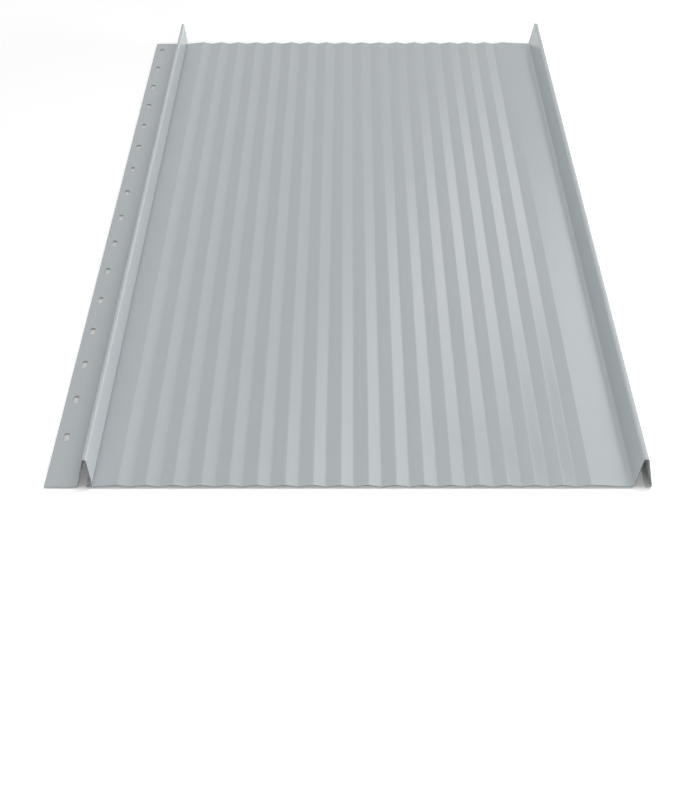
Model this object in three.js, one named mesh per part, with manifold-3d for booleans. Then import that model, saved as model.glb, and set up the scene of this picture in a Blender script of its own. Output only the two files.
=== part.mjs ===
// A snap-lock roofing sheet with a finely corrugated pan, roll-formed from one strip of coated steel.
//
// Millimetres. X runs across the sheet, Y along it, and Z is up. The sheet lies flat on z = 0 with
// its slotted nail strip at -X and its female rib at +X. The origin is the bottom centre of its box.
//
// Across the sheet, in the order in which its section is drawn:
//   nail strip   flat and slotted, so that the screws let the steel slide as it warms
//   male rib     an inverted V with a flat crown; its pan-side leg ends in an undercut
//   pan          a flat beside the undercut, a ramp, a zigzag of waves and a long ramp down
//   female rib   snaps over the next sheet's male rib; its lip grips that rib's undercut
//
// The section is the middle line of the steel: straight runs, with a bend at each corner. Points of
// the section are Vector2s, with x measured from the nail strip's outer edge and y as the height.

import * as THREE from "three";
import { mergeVertices } from "three/addons/utils/BufferGeometryUtils.js";
import Module from "manifold-3d";

// ---- Driving dimensions ----------------------------------------------------------------------

const sheetLength = 1000;
const steel = 0.5; // thickness of the coated strip

// Nail strip
const nailStripWidth = 28.6; // outer edge to the male rib's foot
const slotLength = 12;
const slotWidth = 4.6;
const slotPitch = 60;
const slotInset = 9; // middle of the slots to the outer edge
const rearSlotInset = 26; // middle of the rearmost slot to the rear end
const frontSlotMargin = 30; // least distance from a slot's middle to the front end

// Male rib
const maleHeight = 28.5;
const nailLegRun = 6.2; // how far the leg beside the nail strip leans
const crownWidth = 2.8; // between the corners of the crown
const panLegRun = 3.2; // how far the leg beside the pan leans
const undercutDepth = 6.3;
const lockHeight = 3.4; // the corner above the undercut

// Seam with the next sheet
const coverWidth = 473.7; // from one sheet's rib to the next sheet's, when laid
const seamClearance = 0.2; // between the seated legs
const lockClearance = 1.3; // the same just above the lip, where the outer leg flares
const crownClearance = 0.5; // between the seated crowns
const lipClearance = 0.3; // between the lip and the pan below it

// Pan
const rampSetback = 2.3; // from the undercut's corner to the foot of the first ramp
const firstRamp = 19.4; // run of the ramp up to the first wave
const wavePitch = 23.7;
const waveHeight = 2.1;
const lastRampMargin = 25; // least run of the ramp down to the female rib

// Radii on the inside of the bends
const nailFootBend = 1;
const maleCrownBend = 1.25;
const femaleCrownBend = 1;
const femaleFootBend = 3;
const lockBend = 0.5;
const foldBend = 0.25;
const rampBend = 4;
const waveBend = 1.75;

// Facets
const bendFacet = THREE.MathUtils.degToRad(14); // most that one facet of a bend turns
const slotEndFacets = 10; // facets round each end of a slot

// ---- Points and lines of the section ---------------------------------------------------------

const baseHeight = steel / 2; // middle of the steel where it lies on the ground

const baseLine = {
  point: new THREE.Vector2(0, baseHeight),
  direction: new THREE.Vector2(1, 0),
};

// Where two lines cross.
function meet(first, second) {
  const apart = second.point.clone().sub(first.point);
  const reach = apart.cross(second.direction) / first.direction.cross(second.direction);
  return first.point.clone().addScaledVector(first.direction, reach);
}

function directionOf(from, to) {
  return to.clone().sub(from).normalize();
}

function leftOf(direction) {
  return new THREE.Vector2(-direction.y, direction.x);
}

function corner(point, insideRadius) {
  return { point, radius: insideRadius + steel / 2 };
}

// ---- Male rib --------------------------------------------------------------------------------

const maleCrownHeight = maleHeight - steel / 2;

const male = {};
male.foot = new THREE.Vector2(nailStripWidth, baseHeight);
male.crownStart = new THREE.Vector2(male.foot.x + nailLegRun, maleCrownHeight);
male.crownEnd = new THREE.Vector2(male.crownStart.x + crownWidth, maleCrownHeight);
male.lock = new THREE.Vector2(male.crownEnd.x + panLegRun, lockHeight);
male.fold = new THREE.Vector2(male.lock.x - undercutDepth, baseHeight);

const maleCorners = [
  corner(male.foot, nailFootBend),
  corner(male.crownStart, maleCrownBend),
  corner(male.crownEnd, maleCrownBend),
  corner(male.lock, lockBend),
  corner(male.fold, foldBend),
];

// ---- Female rib ------------------------------------------------------------------------------

// A run of the female rib: it follows the male rib's run, at a clearance from each of its corners,
// one cover width further over and one steel lower, because a seated sheet lies on the nail strip
// of the sheet before it.
function seatedLine(from, to, fromClearance, toClearance) {
  const left = leftOf(directionOf(from, to));
  const seated = new THREE.Vector2(coverWidth, -steel);
  const start = from.clone().add(seated).addScaledVector(left, steel + fromClearance);
  const end = to.clone().add(seated).addScaledVector(left, steel + toClearance);
  return { point: start, direction: directionOf(start, end) };
}

const innerLeg = seatedLine(male.foot, male.crownStart, seamClearance, seamClearance);
const femaleCrown = seatedLine(male.crownStart, male.crownEnd, crownClearance, crownClearance);
const outerLeg = seatedLine(male.crownEnd, male.lock, seamClearance, lockClearance);
const undercut = seatedLine(male.lock, male.fold, seamClearance, seamClearance);

// The lip lies level above the pan that it is seated on, and reaches in below the undercut.
const lip = {
  point: new THREE.Vector2(0, lipClearance + steel / 2),
  direction: baseLine.direction,
};

const female = {};
female.foot = meet(innerLeg, baseLine);
female.crownStart = meet(innerLeg, femaleCrown);
female.crownEnd = meet(outerLeg, femaleCrown);
female.lock = meet(outerLeg, lip);
female.lipTip = meet(undercut, lip);

const femaleCorners = [
  corner(female.foot, femaleFootBend),
  corner(female.crownStart, femaleCrownBend),
  corner(female.crownEnd, femaleCrownBend),
  corner(female.lock, lockBend),
];

// ---- Pan -------------------------------------------------------------------------------------

const rampFoot = new THREE.Vector2(male.lock.x + rampSetback, baseHeight);
const firstPeak = rampFoot.x + firstRamp;
const roomForWaves = female.foot.x - lastRampMargin - firstPeak;
const waveCount = Math.floor(roomForWaves / wavePitch) + 1;

function panCorners() {
  const corners = [corner(rampFoot, rampBend)];
  for (let i = 0; i < waveCount; i += 1) {
    const peak = firstPeak + i * wavePitch;
    if (i > 0) {
      corners.push(corner(new THREE.Vector2(peak - wavePitch / 2, baseHeight), waveBend));
    }
    corners.push(corner(new THREE.Vector2(peak, baseHeight + waveHeight), waveBend));
  }
  return corners;
}

// ---- Section ---------------------------------------------------------------------------------

// One bend as a list of stations on the middle line, each with the unit vector to its left. The
// bend takes up less than half of the runs on either side of it.
function bendStations(before, { point, radius }, after) {
  const inward = point.clone().sub(before);
  const outward = after.clone().sub(point);
  const turn = Math.atan2(inward.cross(outward), inward.dot(outward));
  const halfTangent = Math.tan(Math.abs(turn) / 2);
  const longestTangent = 0.49 * Math.min(inward.length(), outward.length());
  const tangent = Math.min(radius * halfTangent, longestTangent);
  const bendRadius = tangent / halfTangent;
  inward.normalize();
  const left = leftOf(inward);
  const start = point.clone().addScaledVector(inward, -tangent);
  const centre = start.clone().addScaledVector(left, Math.sign(turn) * bendRadius);
  const facets = Math.ceil(Math.abs(turn) / bendFacet);
  const stations = [];
  for (let i = 0; i <= facets; i += 1) {
    const angle = (turn * i) / facets;
    stations.push({
      point: start.clone().rotateAround(centre, angle),
      left: left.clone().rotateAround(new THREE.Vector2(), angle),
    });
  }
  return stations;
}

// A free end of the middle line, square to the run that it closes.
function endStation(point, from, to) {
  return { point, left: leftOf(directionOf(from, to)) };
}

// The steel's outline: along one face of it and back along the other.
function sectionShape(start, corners, end) {
  const points = [start, ...corners.map((each) => each.point), end];
  const stations = [endStation(start, start, points[1])];
  corners.forEach((each, i) => {
    stations.push(...bendStations(points[i], each, points[i + 2]));
  });
  stations.push(endStation(end, points[points.length - 2], end));
  const upper = stations.map(({ point, left }) => point.clone().addScaledVector(left, steel / 2));
  const lower = stations.map(({ point, left }) => point.clone().addScaledVector(left, -steel / 2));
  return new THREE.Shape([...lower, ...upper.reverse()]);
}

const section = sectionShape(
  new THREE.Vector2(0, baseHeight),
  [...maleCorners, ...panCorners(), ...femaleCorners],
  female.lipTip,
);

// ---- Slots -----------------------------------------------------------------------------------

// One slot of the nail strip, long along the sheet and round at both ends, around its own middle.
function slotShape() {
  const endRadius = slotWidth / 2;
  const endOffset = slotLength / 2 - endRadius;
  const shape = new THREE.Shape();
  shape.absarc(0, endOffset, endRadius, 0, Math.PI, false);
  shape.absarc(0, -endOffset, endRadius, Math.PI, 2 * Math.PI, false);
  return shape;
}

// Distances of the slots' middles from the rear end.
function slotPlaces() {
  const room = sheetLength - rearSlotInset - frontSlotMargin;
  const slotCount = Math.floor(room / slotPitch) + 1;
  return Array.from({ length: slotCount }, (_, i) => rearSlotInset + i * slotPitch);
}

// ---- Sheet -----------------------------------------------------------------------------------

const wasm = await Module();
wasm.setup();

function toSolid(geometry) {
  geometry.deleteAttribute("normal");
  geometry.deleteAttribute("uv");
  const merged = mergeVertices(geometry);
  const vertProperties = new Float32Array(merged.attributes.position.array);
  const triVerts = new Uint32Array(merged.index.array);
  return new wasm.Manifold(new wasm.Mesh({ numProp: 3, vertProperties, triVerts }));
}

function toGeometry(solid) {
  const { vertProperties, triVerts } = solid.getMesh();
  const geometry = new THREE.BufferGeometry();
  geometry.setAttribute("position", new THREE.BufferAttribute(vertProperties, 3));
  geometry.setIndex(new THREE.BufferAttribute(triVerts, 1));
  return geometry;
}

// The section drawn out along the sheet, still with x = 0 at the nail strip's outer edge.
function plainSheet() {
  const geometry = new THREE.ExtrudeGeometry(section, { depth: sheetLength, bevelEnabled: false });
  geometry.rotateX(Math.PI / 2);
  geometry.translate(0, sheetLength / 2, 0);
  return toSolid(geometry);
}

function slotCutter(fromRear) {
  const geometry = new THREE.ExtrudeGeometry(slotShape(), {
    depth: 3 * steel,
    bevelEnabled: false,
    curveSegments: slotEndFacets,
  });
  geometry.translate(slotInset, sheetLength / 2 - fromRear, -steel);
  return toSolid(geometry);
}

function sheetGeometry() {
  let solid = plainSheet();
  for (const fromRear of slotPlaces()) {
    solid = solid.subtract(slotCutter(fromRear));
  }
  const geometry = toGeometry(solid);
  geometry.computeBoundingBox();
  const { min, max } = geometry.boundingBox;
  geometry.translate(-(min.x + max.x) / 2, 0, -min.z);
  return geometry;
}

// Light blue-grey polyester coat, satin
const coatedSteel = new THREE.MeshStandardMaterial({
  color: 0xb4babb,
  roughness: 0.45,
  metalness: 0.1,
  flatShading: true,
});

const sheet = new THREE.Mesh(sheetGeometry(), coatedSteel);
sheet.name = "corrugated_sheet";

const group = new THREE.Group();
group.add(sheet);

export default group;
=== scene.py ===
"""A snap-lock roofing sheet with a finely waved pan, lying on a white studio floor.

Metres. X runs across the sheet, Y along it and Z up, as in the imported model. A section through
the sheet is drawn on complex numbers, across + 1j * height, from the nail strip's outer edge.
"""

import math

import bpy
import numpy as np
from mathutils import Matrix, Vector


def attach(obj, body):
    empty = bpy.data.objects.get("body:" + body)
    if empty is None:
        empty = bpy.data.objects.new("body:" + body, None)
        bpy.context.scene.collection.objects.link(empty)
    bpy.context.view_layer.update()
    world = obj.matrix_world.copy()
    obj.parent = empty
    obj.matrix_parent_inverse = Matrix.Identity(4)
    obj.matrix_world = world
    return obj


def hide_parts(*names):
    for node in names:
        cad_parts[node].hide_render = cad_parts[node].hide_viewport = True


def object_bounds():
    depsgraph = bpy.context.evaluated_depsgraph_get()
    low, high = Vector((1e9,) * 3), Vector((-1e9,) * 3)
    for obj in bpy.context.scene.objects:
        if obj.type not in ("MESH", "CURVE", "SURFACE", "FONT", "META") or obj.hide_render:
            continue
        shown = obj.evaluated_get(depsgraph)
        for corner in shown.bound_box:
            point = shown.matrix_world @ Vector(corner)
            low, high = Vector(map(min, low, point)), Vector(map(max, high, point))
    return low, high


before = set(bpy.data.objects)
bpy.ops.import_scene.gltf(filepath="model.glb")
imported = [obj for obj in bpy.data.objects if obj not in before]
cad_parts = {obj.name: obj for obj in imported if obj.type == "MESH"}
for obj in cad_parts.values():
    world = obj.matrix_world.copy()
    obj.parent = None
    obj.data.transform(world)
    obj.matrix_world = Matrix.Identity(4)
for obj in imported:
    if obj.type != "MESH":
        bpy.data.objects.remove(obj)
cad_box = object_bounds()

# ---- Nail strip --------------------------------------------------------------------------------
# A flat flange of coated steel along one edge, screwed down to the roof deck. Its slots are
# punched in the flat blank, long along the sheet, so that the steel can slide as it warms.

MM = 0.001
sheet_length = 1000 * MM
steel = 0.5 * MM
nail_strip_width = 28.6 * MM

slot_length = 12 * MM
slot_width = 4.6 * MM
slot_pitch = 60 * MM
slot_inset = 9 * MM
rear_slot_inset = 26 * MM
slot_count = 16

slot_y = sheet_length / 2 - rear_slot_inset - slot_pitch * np.arange(slot_count)
cell_rear = np.minimum(slot_pitch / 2, sheet_length / 2 - slot_y)

# Steps round a slot, and round the rectangle of blank that belongs to it, from the middle of the
# side next to the rib: half a side, an end, two halves of the other side, an end and half a side.
half_side_steps = 2
end_steps = 10
cell_runs = [half_side_steps, end_steps, half_side_steps] * 2
cell_knots = np.cumsum([0] + cell_runs)
cell_steps = sum(cell_runs)

# Rings of blank round a slot: how far each is outside the punched edge, and how much the punch
# has rolled the upper face down there.
punch_rings = np.array([0, 0.12, 0.35, 1.2]) * MM
punch_roll = np.array([0.09, 0.03, 0, 0]) * MM


def round_slots(away):
    """Points round every slot at a distance outside its edge, as (slot, step) arrays of s and y.

    Two half circles of the slot's end radius plus that distance, one straight side apart, with a
    point in the middle of each side.
    """
    half_turn = np.linspace(0, math.pi, cell_steps // 2 - 1)
    angle = np.concatenate([[0], half_turn, [math.pi], half_turn + math.pi])
    end = np.concatenate([[0], np.ones(half_turn.size), [0], -np.ones(half_turn.size)])
    radius = slot_width / 2 + away
    across = radius * np.cos(angle) * np.ones((slot_count, 1))
    along = end * (slot_length - slot_width) / 2 + radius * np.sin(angle)
    return slot_inset + across, slot_y[:, None] + along


def round_cells():
    """Points round every slot's rectangle of blank, as (slot, step) arrays of s and y.

    Straight sides between its four corners, in equal steps.
    """
    step = np.arange(cell_steps)
    across = np.interp(step, cell_knots, [1, 1, -1, -1, -1, 1, 1]) * slot_inset
    along = np.interp(step, cell_knots, [0, 1, 1, 0, -1, -1, 0])
    reach = np.where(along > 0, cell_rear[:, None], slot_pitch / 2)
    return slot_inset + across * np.ones((slot_count, 1)), slot_y[:, None] + along * reach


# ---- Male rib ----------------------------------------------------------------------------------
# An upright hollow rib with a flat crown, bent from the same strip. The leg beside the pan ends
# in an undercut fold that the next sheet's female rib grips.

male_height = 28.5 * MM
nail_leg_run = 6.2 * MM
crown_width = 2.8 * MM
pan_leg_run = 3.2 * MM
undercut_depth = 6.3 * MM
lock_height = 3.4 * MM

# The middle of the steel at each corner, and the inside radius of the bend there
base = 0.5j * steel
male_crown = 1j * (male_height - steel / 2)
male_across = [nail_strip_width, nail_leg_run, crown_width, pan_leg_run, -undercut_depth]
male = np.cumsum(male_across) + [base, male_crown, male_crown, 1j * lock_height, base]
male_bend = [1 * MM, 1.25 * MM, 1.25 * MM, 0.5 * MM, 0.25 * MM]

# ---- Pan ---------------------------------------------------------------------------------------
# The part that sheds the rain: shallow waves, pressed lengthwise by the rolls, between two flat
# ramps. They stiffen the thin steel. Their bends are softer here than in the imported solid, which
# moves the crests by under 0.1 mm.

ramp_setback = 2.3 * MM
first_ramp = 19.4 * MM
ramp_bend = 4 * MM
wave_pitch = 23.7 * MM
wave_height = 2.1 * MM
wave_count = 18
wave_bend = 6 * MM

ramp_foot = male[3].real + ramp_setback + base
half_wave = np.arange(2 * wave_count - 1)
waves = ramp_foot + first_ramp + wave_pitch / 2 * half_wave + 1j * wave_height * (1 - half_wave % 2)
pan_bend = [ramp_bend] + [wave_bend] * len(half_wave)

# ---- Female rib --------------------------------------------------------------------------------
# A hollow rib that snaps over the male rib of the sheet beside it and hides its screws. Its outer
# leg flares a little from that rib, and its level lip reaches in below the fold.

cover_width = 473.7 * MM
seam_clearance = 0.2 * MM
lock_clearance = 1.3 * MM
crown_clearance = 0.5 * MM
lip_clearance = 0.3 * MM


def meet(point, direction, other, other_direction):
    """Where two lines cross, each given by a point and a direction.

    The way along the first is the cross product of the step between the points with the second
    direction, divided by the cross product of the two directions.
    """
    reach = ((other - point).conjugate() * other_direction).imag
    reach /= (direction.conjugate() * other_direction).imag
    return point + reach * direction


def seated(i, clearance, end_clearance):
    """The line of the female rib's run that goes with run i of the male rib: a point, a direction.

    Each end of that run is moved square to it by the steel and a clearance, one cover width over
    and one steel down.
    """
    aside = 1j * np.diff(male)[i] / abs(np.diff(male)[i])
    place = cover_width - 1j * steel
    start = male[i] + place + aside * (steel + clearance)
    end = male[i + 1] + place + aside * (steel + end_clearance)
    return start, (end - start) / abs(end - start)


inner_leg = seated(0, seam_clearance, seam_clearance)
crown = seated(1, crown_clearance, crown_clearance)
outer_leg = seated(2, seam_clearance, lock_clearance)
undercut = seated(3, seam_clearance, seam_clearance)
# Level lines: their direction is 1, straight across the sheet
ground = base, 1
lip = 1j * (lip_clearance + steel / 2), 1
crossings = [
    (inner_leg, ground),
    (inner_leg, crown),
    (outer_leg, crown),
    (outer_leg, lip),
    (undercut, lip),
]
female = np.array([meet(*first, *second) for first, second in crossings])
female_bend = [3 * MM, 1 * MM, 1 * MM, 0.5 * MM]

# ---- Formed sheet ------------------------------------------------------------------------------
# One strip of galvanized steel, coated on the coil, slotted flat and then bent lengthwise by pairs
# of rolls. The mesh is made in the same order: a flat blank in s (over the steel) and y, formed.

corners = np.concatenate([[base], male, [ramp_foot], waves, female])
bend_radius = steel / 2 + np.array(male_bend + pan_bend + female_bend)
longest_tangent = 0.49  # of the shorter run beside a bend
sharp_turn = math.radians(40)
bend_stations = 13
gentle_bend_step = 3  # a bend that isn't sharp keeps every third station
beside_bend = 0.35 * MM  # from the end of a straight run to the station near it
front_rows = 4  # rows of the blank in front of the last slot's rectangle
merging = 1e7  # points of the blank are merged where they agree to 1 / merging metres

# Two colours of each finish; noise goes from one to the other
coat_greys = (0.425, 0.460, 0.475, 1), (0.441, 0.472, 0.487, 1)
backing_greys = (0.61, 0.625, 0.615, 1), (0.65, 0.665, 0.655, 1)
# painted shade: the cut edges are darker than bare steel, standing in for the shadow under the sheet's
# edge
bare_greys_with_painted_shade = (0.1, 0.104, 0.104, 1), (0.18, 0.187, 0.187, 1)


def bent_line(corners, radius):
    """Stations of the middle of the steel: straight runs with a round bend at each inner corner.

    A bend touches its runs at a distance of radius x tan(half the turn) from the corner, and its
    stations turn in equal steps about its centre. A run that is long enough has four stations: one
    near each end and two at its thirds. Returns the stations, their bearings, and the distance
    over the steel at each.
    """
    run = np.diff(corners)
    length = np.abs(run)
    ahead = run / length
    turn = np.angle(ahead[1:] / ahead[:-1])
    half = np.tan(np.abs(turn) / 2)
    tangent = np.minimum(radius * half, longest_tangent * np.minimum(length[1:], length[:-1]))
    start = corners[1:-1] - tangent * ahead[:-1]
    spoke = -1j * np.sign(turn) * ahead[:-1] * tangent / half
    swing = np.exp(1j * turn[:, None] * np.linspace(0, 1, bend_stations))
    arc = (start - spoke)[:, None] + spoke[:, None] * swing
    every_few = np.arange(bend_stations) % gentle_bend_step == 0
    kept = (np.abs(turn)[:, None] > sharp_turn) | every_few

    run_start = np.concatenate([corners[:1], arc[:, -1]])
    run_end = np.concatenate([arc[:, 0], corners[-1:]])
    straight = run_end - run_start
    near = beside_bend / np.abs(straight)
    part = np.stack([near, near * 0 + 1 / 3, near * 0 + 2 / 3, 1 - near], 1)
    inside = run_start[:, None] + straight[:, None] * part
    fits = np.abs(straight) > inside.shape[1] * beside_bend

    stations, bearings = [corners[:1]], [ahead[:1]]
    for i in range(len(run)):
        if fits[i]:
            stations.append(inside[i])
            bearings.append(np.repeat(ahead[i], inside.shape[1]))
        if i < len(turn):
            stations.append(arc[i][kept[i]])
            bearings.append(ahead[i] * swing[i][kept[i]])
    stations = np.concatenate(stations + [corners[-1:]])
    bearings = np.unwrap(np.angle(np.concatenate(bearings + [ahead[-1:]])))
    return stations, bearings, np.concatenate([[0], np.cumsum(np.abs(np.diff(stations)))])


station, bearing, over = bent_line(corners, bend_radius)


def form(s, y, depth):
    """Where a point of the flat blank goes when the strip is formed.

    The point is the middle line's at a distance s over the steel, moved square to it by depth.
    """
    middle = np.interp(s, over, station.real) + 1j * np.interp(s, over, station.imag)
    place = middle + depth * 1j * np.exp(1j * np.interp(s, over, bearing))
    return np.stack([cad_box[0].x + place.real, y, place.imag], -1)


def quads_of(rows, columns, wrap=False):
    """Corner indices of the quads of a grid that is numbered row by row, closed round if wrap."""
    low = np.arange(rows - 1)[:, None] * columns
    left = np.arange(columns if wrap else columns - 1)
    right = (left + 1) % columns
    quads = [low + left, low + right, low + columns + right, low + columns + left]
    return np.stack(quads, -1).reshape(-1, 4)


def flat_grid(s, y):
    """A plain piece of blank: every s with every y, and its quads."""
    across, along = np.meshgrid(s, y)
    return across.ravel(), along.ravel(), quads_of(len(y), len(s))


def blank():
    """The slotted blank as s, y, the roll of the punched edges, and quads, with doubles merged.

    A body beside the slots' rectangles, with a row at each one's ends, middle and quarters, then the
    strip in front of the last rectangle, and then the rings between each slot and its rectangle.
    """
    cell_width = 2 * slot_inset
    cell_y = [slot_y + cell_rear, slot_y + cell_rear / 2, slot_y, slot_y - slot_pitch / 4]
    front_y = np.linspace(slot_y[-1] - slot_pitch / 2, -sheet_length / 2, front_rows)
    body_s = np.concatenate([[cell_width], over[over > cell_width + beside_bend]])
    body = flat_grid(body_s, np.sort(np.concatenate(cell_y + [front_y])))
    strip = flat_grid(np.linspace(0, cell_width, end_steps + 1), front_y[::-1])

    rings = [round_slots(away) for away in punch_rings] + [round_cells()]
    ring_s, ring_y = (np.stack([ring[k] for ring in rings], 1) for k in (0, 1))
    one_cell = quads_of(len(rings), cell_steps, wrap=True)[:, ::-1]
    first = np.arange(slot_count)[:, None, None] * len(rings) * cell_steps
    cells = ring_s.ravel(), ring_y.ravel(), (first + one_cell).reshape(-1, 4)
    roll = np.append(punch_roll, 0)[None, :, None] * np.ones((slot_count, 1, cell_steps))

    parts = body, strip, cells
    starts = np.cumsum([0] + [len(part[0]) for part in parts[:-1]])
    s, y = (np.concatenate([part[k] for part in parts]) for k in (0, 1))
    roll = np.concatenate([np.zeros(len(s) - roll.size), roll.ravel()])
    quads = np.concatenate([part[2] + start for part, start in zip(parts, starts)])
    key = np.round(np.stack([s, y], 1) * merging).astype(np.int64)
    _, kept, same = np.unique(key, axis=0, return_index=True, return_inverse=True)
    return s[kept], y[kept], roll[kept], same.reshape(-1)[quads]


def sheet_mesh():
    """The blank's two faces, formed, and the cut edges that join them along its whole outline.

    An edge of the outline is one that only one quad of the blank has. The materials are numbered
    0 on the upper face, 1 on the underside and 2 on the cut edges.
    """
    s, y, roll, quads = blank()
    count = len(s)
    faces = [form(s, y, steel / 2 - roll), form(s, y, -steel / 2)]
    sides = np.stack([quads, np.roll(quads, -1, 1)], -1).reshape(-1, 2)
    _, index, uses = np.unique(np.sort(sides, 1), axis=0, return_index=True, return_counts=True)
    rim = sides[index[uses == 1]]
    cut = np.stack([rim[:, 1], rim[:, 0], rim[:, 0] + count, rim[:, 1] + count], 1)
    mesh = bpy.data.meshes.new("corrugated_sheet_formed")
    every = np.concatenate([quads, quads[:, ::-1] + count, cut])
    mesh.from_pydata(np.concatenate(faces).tolist(), [], every.tolist(), shade_flat=False)
    finish = np.repeat([0, 1, 2], [len(quads), len(quads), len(cut)])
    mesh.polygons.foreach_set("material_index", finish.astype(np.int32))
    mesh.set_sharp_from_angle(angle=sharp_turn)
    mesh.validate()
    return mesh


class Wire:
    """A node's output, or just the tree that nodes are added to.

    Adding, taking away or multiplying adds a Math node.
    """

    def __init__(self, tree, socket=None):
        self.tree, self.socket = tree, socket

    def node(self, kind, settings, inputs, out=0):
        """Adds a node: first its settings, then the value or the link of each of its sockets."""
        made = self.tree.nodes.new(kind)
        for name, value in settings.items():
            setattr(made, name, value)
        for name, value in inputs.items():
            if isinstance(value, Wire):
                self.tree.links.new(value.socket, made.inputs[name])
            else:
                made.inputs[name].default_value = value
        return Wire(self.tree, made.outputs[out] if made.outputs else None)

    def beside(self, name):
        """Another output of the same node."""
        return Wire(self.tree, self.socket.node.outputs[name])

    def math(self, operation, first, second):
        """One Math node on two values."""
        return self.node("ShaderNodeMath", {"operation": operation}, {0: first, 1: second})

    def __add__(self, other):
        return self.math("ADD", self, other)

    def __sub__(self, other):
        return self.math("SUBTRACT", self, other)

    def __rsub__(self, other):
        return self.math("SUBTRACT", other, self)

    def __mul__(self, other):
        return self.math("MULTIPLY", self, other)

    __radd__ = __add__
    __rmul__ = __mul__


def new_material(name):
    """An empty material and a wire from which its nodes are added."""
    material = bpy.data.materials.new(name)
    material.use_nodes = True
    material.node_tree.nodes.clear()
    return material, Wire(material.node_tree)


def noise(wire, where, scale, detail=2.0):
    """Smooth noise from 0 to 1 about one half, with lumps about 1 / scale metres across."""
    return wire.node("ShaderNodeTexNoise", {}, {"Vector": where, "Scale": scale, "Detail": detail})


def stretched(wire, where, factors):
    """Coordinates multiplied axis by axis, so that a pattern gets longer where a factor is small."""
    return wire.node("ShaderNodeVectorMath", {"operation": "MULTIPLY"}, {0: where, 1: factors})


def mixed(wire, factor, first, second):
    """A colour between two colours: the first where the factor is 0, the second where it is 1."""
    inputs = {0: factor, 6: first, 7: second}
    return wire.node("ShaderNodeMix", {"data_type": "RGBA"}, inputs, 2)


def finish_surface(wire, shader):
    """Links a shader to the material's output."""
    wire.node("ShaderNodeOutputMaterial", {}, {"Surface": shader})


def weather_coat():
    """Satin polyester coat on the weather side: fine orange peel and faint marks of the rolls."""
    material, wire = new_material("weather_coat")
    where = wire.node("ShaderNodeTexCoord", {}, {}, "Object")
    peel = noise(wire, where, scale=900.0)
    roll_marks = noise(wire, stretched(wire, where, (1.0, 0.012, 1.0)), scale=420.0, detail=3.0)
    clouds = noise(wire, where, scale=14.0, detail=3.0)
    colour = mixed(wire, clouds, *coat_greys)
    height = peel + roll_marks * 0.5
    bump = wire.node("ShaderNodeBump", {}, {"Strength": 0.06, "Distance": 0.0004, "Height": height})
    shader = wire.node("ShaderNodeBsdfPrincipled", {}, {
        "Base Color": colour,
        "Roughness": 0.17 + 0.03 * clouds + 0.03 * roll_marks,
        "IOR": 1.3,
        "Normal": bump,
    })
    finish_surface(wire, shader)
    return material


def backing_coat():
    """Thin matt backing coat on the underside: pale grey, cloudy and finely grained."""
    material, wire = new_material("backing_coat")
    where = wire.node("ShaderNodeTexCoord", {}, {}, "Object")
    grain = noise(wire, where, scale=700.0, detail=3.0)
    clouds = noise(wire, stretched(wire, where, (1.0, 0.2, 1.0)), scale=22.0, detail=3.0)
    colour = mixed(wire, clouds, *backing_greys)
    bump = wire.node("ShaderNodeBump", {}, {"Strength": 0.1, "Distance": 0.0003, "Height": grain})
    shader = wire.node("ShaderNodeBsdfPrincipled", {}, {
        "Base Color": colour,
        "Roughness": 0.5 + 0.12 * clouds,
        "Normal": bump,
    })
    finish_surface(wire, shader)
    return material


def cut_steel():
    """Bare sheared edge: dull grey steel finely torn by the blade, made darker as painted shade."""
    material, wire = new_material("cut_steel")
    where = wire.node("ShaderNodeTexCoord", {}, {}, "Object")
    drag = noise(wire, where, scale=2600.0)
    colour = mixed(wire, drag, *bare_greys_with_painted_shade)
    bump = wire.node("ShaderNodeBump", {}, {"Strength": 0.2, "Distance": 0.0001, "Height": drag})
    shader = wire.node("ShaderNodeBsdfPrincipled", {}, {
        "Base Color": colour,
        "Metallic": 0.4,
        "Roughness": 0.45 + 0.2 * drag,
        "Normal": bump,
    })
    finish_surface(wire, shader)
    return material


sheet = bpy.data.objects.new("corrugated_sheet_formed", sheet_mesh())
bpy.context.scene.collection.objects.link(sheet)
for coat in (weather_coat(), backing_coat(), cut_steel()):
    sheet.data.materials.append(coat)
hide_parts("corrugated_sheet")
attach(sheet, "root")

# ---- Studio ------------------------------------------------------------------------------------
# A white floor without an edge, under an even overcast. Two wide softboxes hang above, low ones at
# the sides and in front light the ribs, and a tall strip behind shows as a glow on the waves.

floor_reach = 6
floor_drop = 1.6 * MM  # lets light in below the sheet, so that its edge and slots aren't black
floor_to_light = (0.8, 0.8, 0.8, 1)
floor_to_eye = (1.2, 1.2, 1.2, 1)
# painted shade: the grey the floor shows to the eye below the sheet, seen through its slots and gaps
floor_painted_shade_below_sheet = (0.6, 0.6, 0.6, 1)
painted_shade_fade = 6 * MM  # how far inside the sheet's outline the floor has turned to its painted shade
haze_near, painted_glow_below_sheet = 0.03, 0.12  # share of plain white on the floor, and more below the sheet as painted glow
haze_start, haze_end = 0.6, 0.95  # distances between which the floor turns to plain white
white = (1, 1, 1, 1)
overcast_level = 0.31


def seen_directly(wire):
    """1 for rays from the camera, off gloss or through glass, and 0 for rays that carry light."""
    from_camera = wire.node("ShaderNodeLightPath", {}, {}, "Is Camera Ray")
    return from_camera + from_camera.beside("Is Glossy Ray") + from_camera.beside("Is Transmission Ray")


def ramp_up(wire, value, low, high):
    """Rises smoothly from 0 at the low value to 1 at the high one."""
    settings = {"interpolation_type": "SMOOTHSTEP"}
    inputs = {"Value": value, "From Min": low, "From Max": high}
    return wire.node("ShaderNodeMapRange", settings, inputs)


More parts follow.
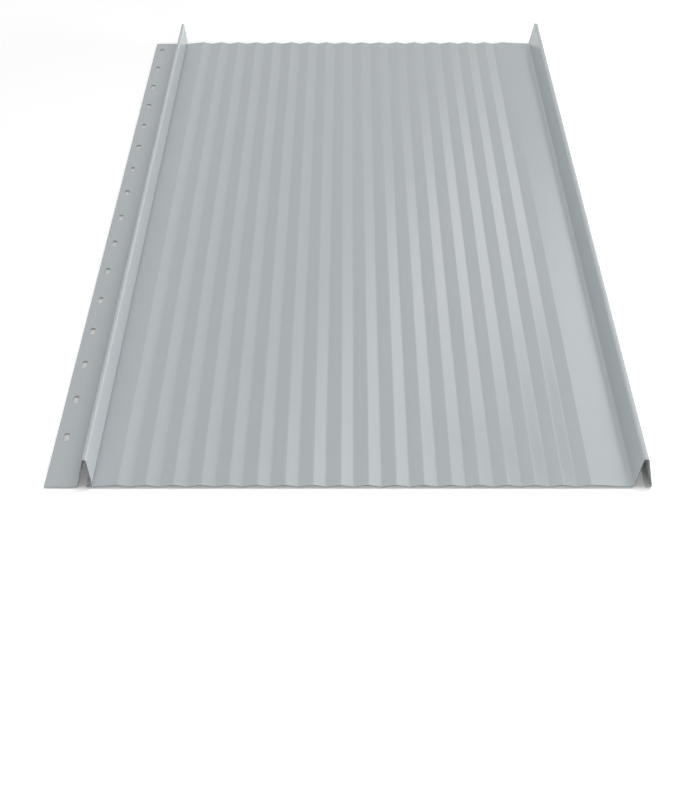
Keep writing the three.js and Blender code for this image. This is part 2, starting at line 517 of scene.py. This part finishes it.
def floor_paint():
    """Matt white: a pale grey to the light that it gives back, and white to the eye.

    It has painted shade below the sheet: to the eye it is greyer there, with a little more painted
    glow mixed in, by the distance inside the sheet's outline. It fades into the white background by
    the distance from the middle of the sheet.
    """
    material, wire = new_material("floor_paint")
    direct = seen_directly(wire)
    place = wire.node("ShaderNodeTexCoord", {}, {}, "Object")
    away = wire.node("ShaderNodeVectorMath", {"operation": "LENGTH"}, {0: place}, "Value")
    across = wire.node("ShaderNodeSeparateXYZ", {}, {"Vector": place}, "X")
    side = wire.math("ABSOLUTE", across, 0.0)
    end = wire.math("ABSOLUTE", across.beside("Y"), 0.0)
    inset = wire.math("MINIMUM", cad_box[1].x - side, sheet_length / 2 - end)
    # mask of the painted shade and painted glow: 1 well inside the sheet's outline, 0 outside it
    below = ramp_up(wire, inset, 0.0, painted_shade_fade)
    to_eye = mixed(wire, below, floor_to_eye, floor_painted_shade_below_sheet)
    colour = mixed(wire, direct, floor_to_light, to_eye)
    lit = wire.node("ShaderNodeBsdfDiffuse", {}, {"Color": colour})
    plain = wire.node("ShaderNodeEmission", {}, {"Color": white, "Strength": 1.0})
    # share of plain white glow: a little everywhere, painted glow below the sheet, and all of it far
    # away
    haze = haze_near + painted_glow_below_sheet * below + (1 - haze_near) * ramp_up(wire, away, haze_start, haze_end)
    shader = wire.node("ShaderNodeMixShader", {}, {0: haze * direct, 1: lit, 2: plain})
    finish_surface(wire, shader)
    return material


floor_mesh = bpy.data.meshes.new("studio_floor")
floor_corners = [(-1, -1), (1, -1), (1, 1), (-1, 1)]
floor_points = [(floor_reach * x, floor_reach * y, -floor_drop) for x, y in floor_corners]
floor_mesh.from_pydata(floor_points, [], [(0, 1, 2, 3)])
floor_mesh.materials.append(floor_paint())
floor = bpy.data.objects.new("studio_floor", floor_mesh)
bpy.context.scene.collection.objects.link(floor)

world = bpy.data.worlds.new("overcast")
world.use_nodes = True
world.node_tree.nodes.clear()
wire = Wire(world.node_tree)
level = overcast_level + (1 - overcast_level) * seen_directly(wire)
sky = wire.node("ShaderNodeBackground", {}, {"Color": white, "Strength": level})
wire.node("ShaderNodeOutputWorld", {}, {"Surface": sky})
bpy.context.scene.world = world


def softbox(name, azimuth, elevation, distance, size, radiance, in_gloss=False):
    """A rectangular lamp that faces the origin, at an azimuth from +Y towards +X, in degrees.

    Its power is 4 x radiance x area, at which a camera that faces it would see that radiance.
    """
    turn, rise = math.radians(azimuth), math.radians(elevation)
    lamp = bpy.data.lights.new(name, "AREA")
    lamp.shape = "RECTANGLE"
    lamp.size, lamp.size_y = size
    lamp.energy = 4 * radiance * size[0] * size[1]
    stand = bpy.data.objects.new(name, lamp)
    ray = math.sin(turn) * math.cos(rise), math.cos(turn) * math.cos(rise), math.sin(rise)
    stand.location = [distance * part for part in ray]
    stand.rotation_mode = "QUATERNION"
    stand.rotation_quaternion = stand.location.to_track_quat("Z", "Y")
    stand.visible_glossy = in_gloss
    bpy.context.scene.collection.objects.link(stand)


# Name, azimuth and elevation in degrees, distance, width and height, and radiance
softbox("strip_behind", 16.5, 34.5, 10.0, (1.22, 4.8), 2.35, in_gloss=True)
softbox("softbox_overhead", 180, 80, 3.0, (2.0, 2.0), 1.16)
softbox("softbox_above_right", 90, 70, 3.0, (2.0, 2.0), 1.87)
softbox("softbox_right", 100, 4.5, 3.0, (2.4, 0.45), 14.8)
softbox("softbox_left", -90, 5, 3.0, (2.4, 0.5), 5.7)
softbox("softbox_front", 180, 12, 3.0, (2.0, 0.8), 4.8)

camera_place = (0.00138, -1.6308, 0.8445)
looks_down = 33.74  # degrees below level
render_height = 800
focal_length = 1657.5  # in dots of the render, as its height is

camera = bpy.data.cameras.new("camera")
camera.sensor_width = 36
camera.lens = camera.sensor_width * focal_length / render_height
tripod = bpy.data.objects.new("camera", camera)
tripod.location = camera_place
tripod.rotation_euler = (math.radians(90 - looks_down), 0, 0)
bpy.context.scene.collection.objects.link(tripod)
bpy.context.scene.camera = tripod
bpy.context.scene.view_settings.view_transform = "Standard"
